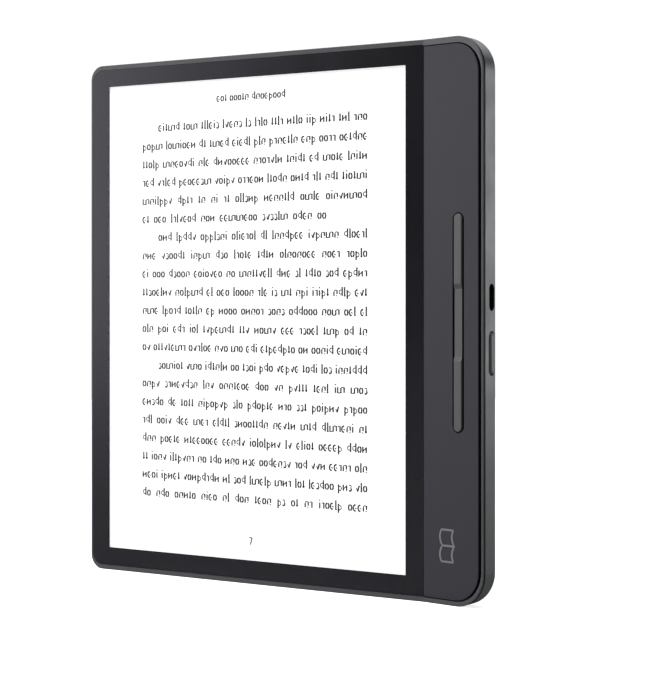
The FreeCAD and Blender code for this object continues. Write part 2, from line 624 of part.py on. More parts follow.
def rocker_pin():
    return tilt(rod(PIN_R, V(STRIP_U - PIN_LENGTH / 2, PIN_DEPTH, STRIP_Z), X_AXIS, PIN_LENGTH))


def page_switch(side):
    """Dome switch on the board under one end of the strip."""
    x = CREASE_X + COS * STRIP_U + SIN * FOOT_END
    z = STRIP_Z + side * FOOT_Z
    body = centred_box(x, SWITCH_SIDE, SWITCH_TOP + 0.3, BOARD_Y, z, SWITCH_SIDE)
    return fuse([body, rod(FOOT_R, V(x, SWITCH_TOP, z), Y_AXIS, 0.4)])


# ================================================================ write every node
NODES = {
    "back_cover": back_cover,
    "front_frame": front_frame,
    "perimeter_gasket": perimeter_gasket,
    "screen_lens": screen_lens,
    "lens_mask": lens_mask,
    "lens_adhesive": lens_adhesive,
    "touch_sensor": touch_sensor,
    "touch_flex": touch_flex,
    "light_guide": light_guide,
    "led_strip": led_strip,
    "front_leds": front_leds,
    "frontlight_flex": frontlight_flex,
    "display_panel": display_panel,
    "display_adhesive": display_adhesive,
    "display_flex": display_flex,
    "chassis_plate": chassis_plate,
    "chassis_screws": chassis_screws,
    "battery": battery,
    "battery_tape": battery_tape,
    "battery_lead": battery_lead,
    "battery_connector": battery_connector,
    "main_board": main_board,
    "board_screws": board_screws,
    "shield_can": shield_can,
    "processor": lambda: chip(65.1, 107.2, 5.4, 8.6, 0.65),
    "memory_chip": lambda: chip(65.2, 98.0, 5.4, 5.6, 0.60),
    "storage_chip": lambda: chip(65.2, 84.0, 6.0, 8.0, 0.60),
    "power_chip": lambda: chip(64.8, 70.5, 4.0, 4.0, 0.55),
    "wifi_module": lambda: chip(64.6, 124.5, 6.0, 7.0, 0.70),
    "wifi_antenna": wifi_antenna,
    "antenna_cable": antenna_cable,
    "display_connector": lambda: flex_connector(DISPLAY_FLEX_Z),
    "touch_connector": lambda: flex_connector(TOUCH_FLEX_Z),
    "frontlight_connector": lambda: flex_connector(LIGHT_FLEX_Z),
    "usb_shell": usb_shell,
    "usb_tongue": usb_tongue,
    "usb_contacts": usb_contacts,
    "usb_seal": usb_seal,
    "power_button": power_button,
    "power_switch": power_switch,
    "page_switch_lower": lambda: page_switch(-1),
    "page_switch_upper": lambda: page_switch(1),
    "grip_panel": grip_panel,
    "grip_tape": grip_tape,
    "page_rocker": page_rocker,
    "rocker_pin": rocker_pin,
}

os.makedirs("parts", exist_ok=True)
for name, make in NODES.items():
    solids = make().Solids
    node = solids[0] if len(solids) == 1 else Part.makeCompound(solids)
    node.exportStep("parts/" + name + ".step")
    print(f"{name:22s} solids {len(solids):2d}  valid {node.isValid()}  volume {node.Volume:10.2f} mm3")
print("grip tilt", round(TILT, 4), "deg; pin centre (m):",
      [round(v / 1000, 7) for v in (CREASE_X + COS * STRIP_U + SIN * PIN_DEPTH,
                                    FRONT_Y - SIN * STRIP_U + COS * PIN_DEPTH, STRIP_Z)])
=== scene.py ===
"""Looks of the e-reader: materials, page, printed mark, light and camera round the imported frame."""

import json
import math
import random

import bpy
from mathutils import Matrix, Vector
from mathutils.bvhtree import BVHTree

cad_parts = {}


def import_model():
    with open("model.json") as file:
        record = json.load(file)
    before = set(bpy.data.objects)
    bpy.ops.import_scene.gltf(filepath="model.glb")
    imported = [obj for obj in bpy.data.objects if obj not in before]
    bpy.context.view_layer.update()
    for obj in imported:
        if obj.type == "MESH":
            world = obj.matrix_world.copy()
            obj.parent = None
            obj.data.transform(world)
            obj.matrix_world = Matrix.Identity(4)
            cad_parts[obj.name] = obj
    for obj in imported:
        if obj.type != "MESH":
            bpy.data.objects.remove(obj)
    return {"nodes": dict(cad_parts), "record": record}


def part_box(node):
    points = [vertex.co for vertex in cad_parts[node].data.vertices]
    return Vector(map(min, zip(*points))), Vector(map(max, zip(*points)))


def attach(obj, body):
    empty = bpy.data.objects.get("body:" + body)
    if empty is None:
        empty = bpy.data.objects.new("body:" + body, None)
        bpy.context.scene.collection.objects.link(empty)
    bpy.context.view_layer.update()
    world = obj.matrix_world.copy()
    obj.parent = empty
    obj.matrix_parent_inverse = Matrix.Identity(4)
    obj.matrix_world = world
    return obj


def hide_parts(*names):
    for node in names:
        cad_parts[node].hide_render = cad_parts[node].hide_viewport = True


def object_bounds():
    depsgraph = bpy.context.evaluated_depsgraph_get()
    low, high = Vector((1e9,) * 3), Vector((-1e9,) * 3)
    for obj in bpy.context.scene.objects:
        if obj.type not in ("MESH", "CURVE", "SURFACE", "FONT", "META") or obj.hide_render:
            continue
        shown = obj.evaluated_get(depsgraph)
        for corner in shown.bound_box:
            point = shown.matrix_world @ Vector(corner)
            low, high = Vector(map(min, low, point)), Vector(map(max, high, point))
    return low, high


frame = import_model()
NODES = frame["nodes"]
CAD_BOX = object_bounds()
MM = 0.001
FRONT_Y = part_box("screen_lens")[0].y          # the flat front
CREASE_X = 56.4 * MM                          # where the grip starts to tilt forward
WALL_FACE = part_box("back_cover")[1].x         # outer face of the side wall
WALL_INSIDE = 72 * MM                         # everything right of this lies at the side wall
COVER_LIP = 0.95 * MM                         # depth below the front at which the cover's lip starts
GRIP_SLOPE = (FRONT_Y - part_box("front_frame")[0].y) / (WALL_FACE - 0.35 * MM - CREASE_X)

WHITE = (1.0, 1.0, 1.0, 1.0)
COVER_SHEEN = (0.90, 1.0, 1.0, 1.0)
LENS_SHINE = 0.050
LENS_TINT = (0.91, 0.89, 1.0, 1.0)
LENS_ROUGH = 0.26
# strength of the painted light glowing from the page
PAGE_PAINTED_GLOW = 0.66
INK_BLACK = (0.0042, 0.0040, 0.0056)


# ---------------------------------------------------------------- node helpers
class Graph:
    """A material's node tree, built by short calls."""

    def __init__(self, name):
        self.material = bpy.data.materials.new(name)
        self.material.use_nodes = True
        self.tree = self.material.node_tree
        self.tree.nodes.clear()
        self.place = self.node("ShaderNodeTexCoord").outputs["Object"]

    def node(self, kind, inputs=None, **settings):
        made = self.tree.nodes.new(kind)
        for key, value in settings.items():
            setattr(made, key, value)
        for key, value in (inputs or {}).items():
            self.put(made.inputs[key], value)
        return made

    def put(self, socket, value):
        if isinstance(value, bpy.types.NodeSocket):
            self.tree.links.new(value, socket)
        else:
            socket.default_value = value

    def noise(self, size, detail=3.0, roughness=0.5, stretch=None):
        """Soft noise from 0 to 1 with features about size metres across."""
        place = self.place
        if stretch:
            place = self.node("ShaderNodeMapping", {"Vector": place, "Scale": stretch}).outputs["Vector"]
        return self.node(
            "ShaderNodeTexNoise",
            {"Vector": place, "Scale": 1.0 / size, "Detail": detail, "Roughness": roughness},
        ).outputs["Fac"]

    def spread(self, value, low, high, start=0.0, end=1.0):
        """Maps start..end to low..high."""
        return self.node(
            "ShaderNodeMapRange",
            {"Value": value, "From Min": start, "From Max": end, "To Min": low, "To Max": high},
        ).outputs["Result"]

    def maths(self, operation, a, b=0.0, c=0.0):
        return self.node("ShaderNodeMath", {0: a, 1: b, 2: c}, operation=operation).outputs[0]

    def blend(self, share, a, b):
        """Colour a where share is 0 and b where it is 1."""
        made = self.node("ShaderNodeMix", data_type="RGBA")
        self.put(made.inputs[0], share)
        self.put(made.inputs[6], a)
        self.put(made.inputs[7], b)
        return made.outputs[2]

    def bump(self, height, depth, strength=1.0, normal=None):
        inputs = {"Height": height, "Distance": depth, "Strength": strength}
        if normal is not None:
            inputs["Normal"] = normal
        return self.node("ShaderNodeBump", inputs).outputs["Normal"]

    def cells(self, size, **settings):
        """Distance field of a pattern of cells about size metres across."""
        made = self.node("ShaderNodeTexVoronoi", {"Vector": self.place, "Scale": 1.0 / size}, **settings)
        return made.outputs["Distance"]

    def axes(self):
        """The place on the part, as its X, Y and Z."""
        return self.node("ShaderNodeSeparateXYZ", {"Vector": self.place}).outputs

    def above(self, value, limit):
        return self.maths("GREATER_THAN", value, limit)

    def below(self, value, limit):
        return self.maths("LESS_THAN", value, limit)

    def join(self, operation, first, *others):
        """Tests joined into one: MULTIPLY where all must hold, MAXIMUM where any may."""
        for other in others:
            first = self.maths(operation, first, other)
        return first

    def under(self, skin):
        """1 below the front's surface by more than skin, 0 above."""
        where = self.axes()
        past = self.maths("MAXIMUM", self.maths("SUBTRACT", where["X"], CREASE_X), 0.0)
        depth = self.maths("MULTIPLY_ADD", past, GRIP_SLOPE, self.maths("SUBTRACT", where["Y"], FRONT_Y))
        return self.above(depth, skin)

    def surface(self, shader):
        out = self.node("ShaderNodeOutputMaterial")
        self.tree.links.new(shader, out.inputs["Surface"])
        return self.material

    def principled(self, **inputs):
        names = {key.replace("_", " "): value for key, value in inputs.items()}
        return self.surface(self.node("ShaderNodeBsdfPrincipled", names).outputs["BSDF"])


def shade(colour, factor):
    return tuple(min(1.0, c * factor) for c in colour[:3]) + (1.0,)


# ---------------------------------------------------------------- materials
def paint_gap_shade(g, base, shade_mask, dark=(0.010, 0.010, 0.011, 1.0)):
    """Painted shade: darkens the colour to near-black where the shade mask marks gaps, grooves and openings.
    """
    return base if shade_mask is None else g.blend(shade_mask(g), base, dark)


def cover_gap_shade(g):
    """Where the cover gets painted shade: walls of the key's and the port's openings, the inside of the cover
    behind them, and its lip in the seam behind the frame.
    """
    where = g.axes()
    inside = g.join(
        "MULTIPLY",
        g.below(where["X"], WALL_FACE - 0.10 * MM),
        g.above(where["X"], WALL_INSIDE),
        g.below(where["Y"], 3.1 * MM),
        g.above(where["Z"], 60 * MM),
        g.below(where["Z"], 110 * MM),
    )
    lip = g.maths("SUBTRACT", 1.0, g.under(COVER_LIP + 0.40 * MM))
    return g.maths("MAXIMUM", inside, lip)


def pin_shade(g):
    """The strip's cross pin, darkened with painted shade; the screws keep their metal."""
    low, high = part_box("rocker_pin")
    slack = 0.1 * MM
    where = g.axes()
    return g.join(
        "MULTIPLY",
        g.above(where["X"], low.x - slack),
        g.above(where["Z"], low.z - slack),
        g.below(where["Z"], high.z + slack),
    )


def port_shade(g):
    """The port's shell, darkened with painted shade; the can on the board keeps its metal."""
    return g.above(g.axes()["X"], WALL_INSIDE)


def moulded(name, colour, rough, grain=0.28 * MM, depth=0.012 * MM, drift=0.05, shade_mask=None):
    """Moulded plastic: spark-eroded grain, a slow drift of colour and uneven gloss, with painted shade in its
    gaps where a shade mask is given.
    """
    g = Graph(name)
    fine = g.noise(grain, detail=2.0, roughness=0.6)
    slow = g.noise(30 * MM, detail=2.0)
    speck = g.noise(0.9 * MM, detail=4.0, roughness=0.7)
    share = g.maths("ADD", g.maths("MULTIPLY", slow, 0.6), g.maths("MULTIPLY", speck, 0.4))
    base = g.blend(share, shade(colour, 1.0 - 2 * drift), shade(colour, 1.0 + 2 * drift))
    gloss = g.spread(speck, rough - 0.05, rough + 0.05, 0.3, 0.7)
    coarse = g.bump(speck, 0.5 * depth, 0.5)
    # painted shade also dulls the shine inside the masked gaps
    shine = 0.5 if shade_mask is None else g.spread(shade_mask(g), 0.5, 0.05)
    return g.principled(
        Base_Color=paint_gap_shade(g, base, shade_mask),
        Roughness=gloss,
        Specular_IOR_Level=shine,
        Normal=g.bump(fine, depth, 0.8, coarse),
    )


def soft_touch(name, colour, rough):
    """The cover's rubbery paint: fine orange peel over a tight dot of a few tenths of a millimetre, with
    painted shade in its openings and seam.
    """
    g = Graph(name)
    peel = g.noise(0.7 * MM, detail=2.0)
    slow = g.noise(45 * MM, detail=3.0)
    dots = g.spread(g.cells(0.45 * MM), 1.0, 0.0, 0.05, 0.45)
    base = g.blend(slow, shade(colour, 0.93), shade(colour, 1.07))
    rub = g.spread(g.noise(12 * MM, detail=5.0, roughness=0.65), rough - 0.06, rough + 0.06, 0.3, 0.7)
    return g.principled(
        # painted shade in the openings and seam, where the shine drops too
        Base_Color=paint_gap_shade(g, base, cover_gap_shade),
        Roughness=rub,
        Specular_IOR_Level=g.spread(cover_gap_shade(g), 0.5, 0.05),
        Specular_Tint=COVER_SHEEN,
        Normal=g.bump(dots, 0.010 * MM, 0.7, g.bump(peel, 0.012 * MM, 0.6)),
    )


def rolled_metal(name, colour, rough, along=(1.0, 14.0, 14.0), depth=0.004 * MM, shade_mask=None):
    """Sheet or turned metal with its rolling lines and a little staining, with painted shade where a shade
    mask is given.
    """
    g = Graph(name)
    lines = g.noise(1.2 * MM, detail=4.0, roughness=0.7, stretch=along)
    stain = g.noise(9 * MM, detail=4.0)
    base = g.blend(stain, shade(colour, 0.85), shade(colour, 1.08))
    return g.principled(
        # painted shade: near-black where the shade mask holds
        Base_Color=paint_gap_shade(g, base, shade_mask, (0.03, 0.03, 0.03, 1.0)),
        Metallic=1.0,
        Roughness=g.spread(lines, rough - 0.08, rough + 0.12, 0.3, 0.7),
        Normal=g.bump(lines, depth, 0.6),
    )


def rubber(name, colour, rough):
    g = Graph(name)
    bloom = g.noise(4 * MM, detail=5.0, roughness=0.65)
    fine = g.noise(0.12 * MM, detail=2.0)
    return g.principled(
        Base_Color=g.blend(bloom, shade(colour, 0.8), shade(colour, 1.6)),
        Roughness=g.spread(bloom, rough - 0.08, rough + 0.06, 0.3, 0.7),
        Specular_IOR_Level=0.35,
        Normal=g.bump(fine, 0.010 * MM, 0.8),
    )


def flex_film(name, colour, track):
    """Flexible circuit: parallel tracks showing through the film."""
    g = Graph(name)
    wave = g.node("ShaderNodeTexWave", {"Vector": g.place, "Scale": 1.0 / (6.3 * MM), "Distortion": 0.4})
    wave.bands_direction = "Z"
    lines = g.spread(wave.outputs["Fac"], 0.0, 1.0, 0.45, 0.6)
    return g.principled(
        Base_Color=g.blend(lines, shade(colour, 1.0), track),
        Roughness=g.spread(g.noise(2 * MM), 0.28, 0.44, 0.3, 0.7),
        Normal=g.bump(lines, 0.012 * MM, 0.6),
    )


def solder_mask(name, colour):
    """Green board: tracks, a ground pour and plated holes under the mask."""
    g = Graph(name)
    flat = g.node("ShaderNodeMapping", {"Vector": g.place, "Rotation": (math.pi / 2, 0, 0)}).outputs[0]
    bricks = g.node(
        "ShaderNodeTexBrick",
        {"Vector": flat, "Scale": 1.0 / (7 * MM), "Mortar Size": 0.02, "Mortar Smooth": 0.1},
    )
    ring = g.spread(g.cells(2.6 * MM), 1.0, 0.0, 0.07, 0.10)
    track = g.blend(bricks.outputs["Fac"], shade(colour, 0.85), shade(colour, 2.0))
    return g.principled(
        Base_Color=g.blend(ring, track, (0.55, 0.42, 0.18, 1)),
        Roughness=g.spread(g.noise(3 * MM), 0.26, 0.4, 0.3, 0.7),
        Normal=g.bump(bricks.outputs["Fac"], 0.02 * MM, 0.7),
    )


def pouch_foil(name, colour):
    """The cell's laminated foil: shallow creases and a dull sheen."""
    g = Graph(name)
    line = g.spread(g.cells(7 * MM, feature="DISTANCE_TO_EDGE"), 1.0, 0.0, 0.0, 0.12)
    slow = g.noise(6 * MM, detail=4.0)
    return g.principled(
        Base_Color=g.blend(slow, shade(colour, 0.9), shade(colour, 1.08)),
        Metallic=0.9,
        Roughness=g.spread(slow, 0.30, 0.48, 0.3, 0.7),
        Normal=g.bump(line, 0.05 * MM, 0.5, g.bump(slow, 0.15 * MM, 0.5)),
    )


def clear_sheet(name, tint, pitch):
    """Film or light guide inside the laminate: clear, with its extraction dots as a faint change of tint."""
    g = Graph(name)
    share = g.spread(g.cells(pitch), 1.0, 0.0, 0.2, 0.35)
    return g.surface(g.node("ShaderNodeBsdfTransparent", {"Color": g.blend(share, WHITE, tint)}).outputs[0])


def lens_glass(name, window_low, window_high, colour):
    """Bonded cover lens: a satin shine on its outer face, clear over the window, inked behind round it."""
    g = Graph(name)
    where = g.axes()
    outer = g.below(where["Y"], FRONT_Y + 0.2 * MM)
    outside = g.join(
        "MAXIMUM",
        g.below(where["X"], window_low.x),
        g.above(where["X"], window_high.x),
        g.below(where["Z"], window_low.z),
        g.above(where["Z"], window_high.z),
    )
    smear = g.noise(35 * MM, detail=5.0, roughness=0.6, stretch=(1.0, 1.0, 0.45))
    rough = g.spread(smear, LENS_ROUGH - 0.03, LENS_ROUGH + 0.03, 0.3, 0.7)
    grazing = g.node("ShaderNodeLayerWeight", {"Blend": 0.5}).outputs["Facing"]
    shine = g.maths("MULTIPLY_ADD", g.maths("POWER", grazing, 5.0), 0.9, LENS_SHINE)
    ripple = g.bump(g.noise(6 * MM, detail=2.0), 0.004 * MM, 0.3)
    gloss = g.node("ShaderNodeBsdfGlossy", {"Color": LENS_TINT, "Roughness": rough, "Normal": ripple})
    clear = g.node("ShaderNodeBsdfTransparent", {"Color": WHITE})
    black = g.node("ShaderNodeBsdfDiffuse", {"Color": shade(colour, 1.0)})
    back = g.node("ShaderNodeMixShader", {0: outside, 1: clear.outputs[0], 2: black.outputs[0]})
    glint = g.maths("MULTIPLY", shine, outer)
    mix = g.node("ShaderNodeMixShader", {0: glint, 1: back.outputs[0], 2: gloss.outputs[0]})
    return g.surface(mix.outputs[0])


def mask_window():
    """Lowest and highest corner of the opening in the ink mask."""
    low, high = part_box("lens_mask")
    rim = 5.2 * MM
    held = [v.co for v in NODES["lens_mask"].data.vertices if low.z + rim < v.co.z < high.z - rim]
    return Vector(map(min, zip(*held))), Vector(map(max, zip(*held)))


def mask_ink(name, colour):
    """Black ink printed on the back of the lens, so it has no shine of its own."""
    g = Graph(name)
    pin = g.noise(0.5 * MM, detail=4.0, roughness=0.7)
    return g.principled(
        Base_Color=g.blend(pin, shade(colour, 0.8), shade(colour, 1.2)),
        Roughness=g.spread(pin, 0.7, 0.9, 0.3, 0.7),
        Specular_IOR_Level=0.0,
        Normal=g.bump(pin, 0.004 * MM, 0.3),
    )


def paper_page(name, colour):
    """Electronic paper: white capsules a few hundredths of a millimetre across, with a painted glow that
    brightens the page in place of light.
    """
    g = Graph(name)
    capsule = g.noise(0.09 * MM, detail=2.0, roughness=0.6)
    slow = g.noise(60 * MM, detail=1.0)
    share = g.maths("ADD", g.maths("MULTIPLY", capsule, 0.6), g.maths("MULTIPLY", slow, 0.4))
    return g.principled(
        Base_Color=g.blend(share, shade(colour, 0.975), shade(colour, 1.02)),
        Roughness=g.spread(capsule, 0.75, 0.95, 0.3, 0.7),
        Specular_IOR_Level=0.1,
        # painted light: the page glows though it is no lamp
        Emission_Color=(1.0, 1.0, 0.99, 1.0),
        Emission_Strength=PAGE_PAINTED_GLOW,
        Normal=g.bump(capsule, 0.003 * MM, 0.3),
    )


def ink(name, colour, spread=0.25):
    g = Graph(name)
    grain = g.noise(0.07 * MM, detail=2.0, roughness=0.7)
    return g.principled(
        Base_Color=g.blend(grain, shade(colour, 1 - spread), shade(colour, 1 + spread)),
        Roughness=g.spread(grain, 0.6, 0.85, 0.3, 0.7),
        Specular_IOR_Level=0.2,
        Normal=g.bump(grain, 0.003 * MM, 0.4),
    )


MATERIALS = {
    "cover_plastic": soft_touch("cover", (0.075, 0.080, 0.083), 0.38),
    # painted shade: each under() mask darkens faces lying deeper than its skin below the front - the frame's
    # seam step, the grip's groove walls and the strip's slot walls
    "frame_plastic": moulded("frame", (0.100, 0.101, 0.108), 0.40, shade_mask=lambda g: g.under(0.43 * MM)),
    "grip_plastic": moulded("grip", (0.0335, 0.0300, 0.0440), 0.50, shade_mask=lambda g: g.under(0.36 * MM)),
    "strip_plastic": moulded(
        "strip", (0.110, 0.110, 0.111), 0.42, grain=0.2 * MM, shade_mask=lambda g: g.under(0.10 * MM)
    ),
    "key_plastic": moulded("key", (0.080, 0.086, 0.090), 0.42, grain=0.2 * MM),
    "lens_clear": lens_glass("lens", *mask_window(), INK_BLACK),
    "clear_sheet": clear_sheet("clear_sheet", (0.985, 0.99, 0.995, 1), 0.5 * MM),
    "mask_black": mask_ink("mask", INK_BLACK),
    "page_white": paper_page("page", (0.93, 0.93, 0.925)),
    "soft_seal": rubber("seal", (0.012, 0.012, 0.013), 0.7),
    "bond_tape": rubber("tape", (0.03, 0.03, 0.03), 0.6),
    "flex_amber": flex_film("flex_amber", (0.50, 0.24, 0.05), (0.62, 0.34, 0.12, 1)),
    "flex_white": flex_film("flex_white", (0.75, 0.75, 0.72), (0.62, 0.60, 0.52, 1)),
    "led_white": ink("led", (0.85, 0.82, 0.66), 0.08),
    "chassis_metal": rolled_metal("chassis", (0.60, 0.61, 0.62), 0.38),
    # painted shade on the strip's cross pin
    "screw_steel": rolled_metal("screw", (0.46, 0.46, 0.47), 0.30, (6.0, 1.0, 6.0), shade_mask=pin_shade),
    # painted shade on the port's shell
    "can_steel": rolled_metal("can", (0.62, 0.61, 0.60), 0.30, shade_mask=port_shade),
    "cell_foil": pouch_foil("cell", (0.52, 0.53, 0.55)),
    "lead_black": rubber("lead", (0.02, 0.02, 0.02), 0.5),
    "connector_white": moulded("connector", (0.72, 0.70, 0.62), 0.45),
    "board_green": solder_mask("board", (0.016, 0.105, 0.045)),
    "chip_black": moulded("chip", (0.020, 0.020, 0.022), 0.55, grain=0.12 * MM),
    "switch_black": moulded("switch", (0.028, 0.028, 0.030), 0.40),
    "gilt": rolled_metal("gilt", (0.88, 0.62, 0.24), 0.24),
}

for part in frame["record"]["subparts"]:
    held = NODES[part["node"]].data.materials
    held.clear()
    held.append(MATERIALS[part["material_slot"]])


# ---------------------------------------------------------------- mesh helpers
def piece(name, verts, faces, material, body):
    mesh = bpy.data.meshes.new(name)
    mesh.from_pydata([tuple(v) for v in verts], [], faces)
    mesh.validate()
    mesh.materials.append(material)
    made = bpy.data.objects.new(name, mesh)
    bpy.context.scene.collection.objects.link(made)
    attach(made, body)
    return made


class Strokes:
    """Flat pen strokes gathered into one thin closed mesh on a surface given by a function."""

    def __init__(self, surface, depth):
        self.surface = surface
        self.depth = depth
        self.verts = []
        self.faces = []

    def line(self, points, width):
        """One stroke of that width through points (across, up)."""
        points = [Vector(p) for p in points]
        first = len(self.verts)
        for i, p in enumerate(points):
            before = points[max(i - 1, 0)]
            after = points[min(i + 1, len(points) - 1)]
            run = (after - before).normalized()
            side = Vector((-run.y, run.x)) * width / 2
            for edge in (p + side, p - side):
                at, out = self.surface(edge.x, edge.y)
                self.verts += [at + out * self.depth, at]
        for i in range(len(points) - 1):
            a = first + 4 * i
            b = a + 4
            self.faces += [
                (a, a + 2, b + 2, b),
                (a + 1, b + 1, b + 3, a + 3),
                (a, b, b + 1, a + 1),
                (a + 2, a + 3, b + 3, b + 2),
            ]
        last = first + 4 * (len(points) - 1)
        self.faces += [(first, first + 1, first + 3, first + 2), (last, last + 2, last + 3, last + 1)]


def arc(cx, cy, rx, ry, start, end, steps=6):
    out = []
    for i in range(steps + 1):
        t = math.radians(start + (end - start) * i / steps)
        out.append((cx + rx * math.cos(t), cy + ry * math.sin(t)))
    return out


# ---------------------------------------------------------------- the page
PANEL_LOW, PANEL_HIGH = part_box("display_panel")
PAGE_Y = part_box("lens_mask")[1].y + 0.03 * MM


def page_panel():
    """The bonded display stack: a rounded slab whose white front lies just behind the mask."""
    low = Vector((PANEL_LOW.x + 0.1 * MM, PAGE_Y, PANEL_LOW.z + 0.1 * MM))
    high = PANEL_HIGH - Vector((0.1, 0.03, 0.1)) * MM
    corner, chamfer, steps = 0.6 * MM, 0.06 * MM, 5
    rings = []
    for y, inset in ((low.y, chamfer), (low.y + chamfer, 0), (high.y - chamfer, 0), (high.y, chamfer)):
        ring = []
        for cx, cz, start in (
            (high.x - corner, high.z - corner, 0),
            (low.x + corner, high.z - corner, 90),
            (low.x + corner, low.z + corner, 180),
            (high.x - corner, low.z + corner, 270),
        ):
            for px, pz in arc(cx, cz, corner - inset, corner - inset, start, start + 90, steps):
                ring.append((px, y, pz))
        rings.append(ring)
    count = len(rings[0])
    verts = [v for ring in rings for v in ring]
    faces = [tuple(range(count)), tuple(reversed(range(3 * count, 4 * count)))]
    for r in range(3):
        for i in range(count):
            j = (i + 1) % count
            faces.append((r * count + j, r * count + i, (r + 1) * count + i, (r + 1) * count + j))
    made = piece("page_panel", verts, faces, MATERIALS["page_white"], "reader")
    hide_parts("display_panel", "light_guide", "touch_sensor")


page_panel()

# Marks that stand for letters without being any: (advance, strokes), each stroke (thick, points),
# all in x-heights.
MARKS = [
    (0.74, [(1, [(0.50, 0.0), (0.50, 1.0)]), (0, [(0.50, 0.80), (0.30, 1.0), (0.10, 0.80)])]),
    (0.92, [(1, arc(0.42, 0.5, 0.32, 0.5, 60, 300)), (0, [(0.42, 0.52), (0.74, 0.36)])]),
    (1.10, [(1, [(0.16, 0.0), (0.16, 1.0)]), (1, [(0.80, 0.0), (0.80, 0.92)]),
            (0, [(0.16, 0.25), (0.80, 0.80)])]),
    (0.52, [(1, [(0.24, 0.0), (0.24, 1.5)]), (0, [(0.06, 0.02), (0.44, 0.02)])]),
    (1.00, [(1, [(0.76, 0.0), (0.76, 1.5)]), (0, arc(0.48, 0.66, 0.32, 0.34, 70, 290))]),
    (0.98, [(1, [(0.22, 1.0), (0.22, -0.5)]), (0, arc(0.46, 0.36, 0.32, 0.36, -130, 110))]),
    (0.66, [(1, [(0.30, 0.0), (0.30, 1.26)]), (0, [(0.08, 0.22), (0.54, 0.22)])]),
    (1.62, [(1, [(0.16, 0.0), (0.16, 1.0)]), (1, [(0.78, 0.0), (0.78, 0.9)]), (1, [(1.40, 0.1), (1.40, 1.0)]),
            (0, [(0.16, 0.1), (0.45, 0.0), (0.78, 0.2)]), (0, [(0.78, 0.8), (1.10, 1.0), (1.40, 0.8)])]),
    (0.54, [(1, [(0.24, 0.0), (0.24, 0.96)]), (1, [(0.24, 1.26), (0.24, 1.46)])]),
    (0.92, [(1, [(0.76, 1.0), (0.44, 0.02)]), (0, [(0.44, 0.02), (0.20, 0.62)])]),
    (0.76, [(0, arc(0.36, 0.74, 0.24, 0.24, 150, -60, 4)), (1, arc(0.36, 0.26, 0.26, 0.26, 60, -150, 4))]),
    (1.04, [(1, [(0.20, 0.0), (0.20, 0.7)]), (1, [(0.80, 0.3), (0.80, 1.0)]),
            (0, arc(0.50, 0.70, 0.30, 0.28, 180, 0, 4)), (0, [(0.62, 0.06), (0.86, 0.02)])]),
    (0.94, [(1, arc(0.44, 0.5, 0.30, 0.48, 100, 260)), (1, arc(0.44, 0.5, 0.30, 0.48, -80, 80))]),
]
TALL = [3, 4, 6]
SHORT = [0, 1, 1, 2, 5, 7, 8, 12, 9, 10, 11, 11, 12, 12, 1, 12]


def word(rng, length):
    return [rng.choice(TALL if rng.random() < 0.27 else SHORT) for _ in range(length)]


def advance(marks):
    return sum(MARKS[m][0] for m in marks)


def write(pen, marks, left, base, size, thick, thin):
    for m in marks:
        reach, strokes = MARKS[m]
        for heavy, points in strokes:
            pen.line([(left + x * size, base + y * size) for x, y in points], thick if heavy else thin)
        left += reach * size
    return left


TEXT_LEFT = -57.4 * MM
TEXT_RIGHT = 35.2 * MM
FIRST_LINE = 154.5 * MM
LINE_PITCH = 6.325 * MM
LINES = 21
INDENT = 7.0 * MM
INDENTED = (0, 6, 13)
SHORT_LINES = {5: 19.4 * MM}
HEAD_Z = 163.4 * MM
FOOT_Z = 14.2 * MM
X_HEIGHT = 2.0 * MM
THICK = 0.58 * MM
THIN = 0.37 * MM
WORD_GAP = 0.52


def page_ink():
    """Greeked running text: a centred heading, justified lines in three paragraphs and a page number."""
    rng = random.Random(11)
    pen = Strokes(lambda x, z: (Vector((x, PAGE_Y, z)), Vector((0, -1, 0))), 0.012 * MM)
    for row in range(LINES):
        left = TEXT_LEFT + (INDENT if row in INDENTED else 0.0)
        right = SHORT_LINES.get(row, TEXT_RIGHT)
        room = (right - left) / X_HEIGHT
        words = []
        used = 0.0
        while True:
            length = rng.choice((2, 2, 3, 3, 3, 4, 4, 5, 5, 6, 7, 8))
            if room - used < 4.0:
                length = 3
            new = word(rng, length)
            wide = advance(new) + (WORD_GAP if words else 0.0)
            if used + wide > room:
                break
            words.append(new)
            used += wide
        spare = (room - used) * X_HEIGHT
        gap = WORD_GAP * X_HEIGHT + spare / max(len(words) - 1, 1)
        base = FIRST_LINE - row * LINE_PITCH - X_HEIGHT / 2
        for new in words:
            left = write(pen, new, left, base, X_HEIGHT, THICK, THIN) + gap
    middle = (TEXT_LEFT + TEXT_RIGHT) / 2
    head = [word(rng, n) for n in (3, 5, 8)]
    size = 0.9 * X_HEIGHT
    total = (sum(advance(w) for w in head) + WORD_GAP * 2) * size
    left = middle - total / 2
    for new in head:
        left = write(pen, new, left, HEAD_Z - size / 2, size, 0.9 * THICK, THIN) + WORD_GAP * size
    seven = [
        (middle + x * MM, FOOT_Z + z * MM) for x, z in ((-0.6, 1.2), (0.6, 1.2), (-0.15, -1.2))
    ]
    pen.line(seven[:2], THIN)
    pen.line(seven[1:], THICK * 0.8)
    paint = ink("page_ink", (0.022, 0.022, 0.024))
    piece("page_ink", pen.verts, pen.faces, paint, "reader")


page_ink()


# ---------------------------------------------------------------- printed mark on the grip
def grip_surface():
    """Function giving the grip's outer face and its outward direction at (x, z)."""
    grip = NODES["grip_panel"]
    mesh = grip.data
    tree = BVHTree.FromPolygons(
        [v.co for v in mesh.vertices], [tuple(p.vertices) for p in mesh.polygons]
    )
    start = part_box("grip_panel")[0].y - 5 * MM

    def at(x, z):
        hit, normal = tree.ray_cast(Vector((x, start, z)), Vector((0, 1, 0)))[:2]
        if normal.y > 0:
            normal = -normal
        return hit, normal

    return at


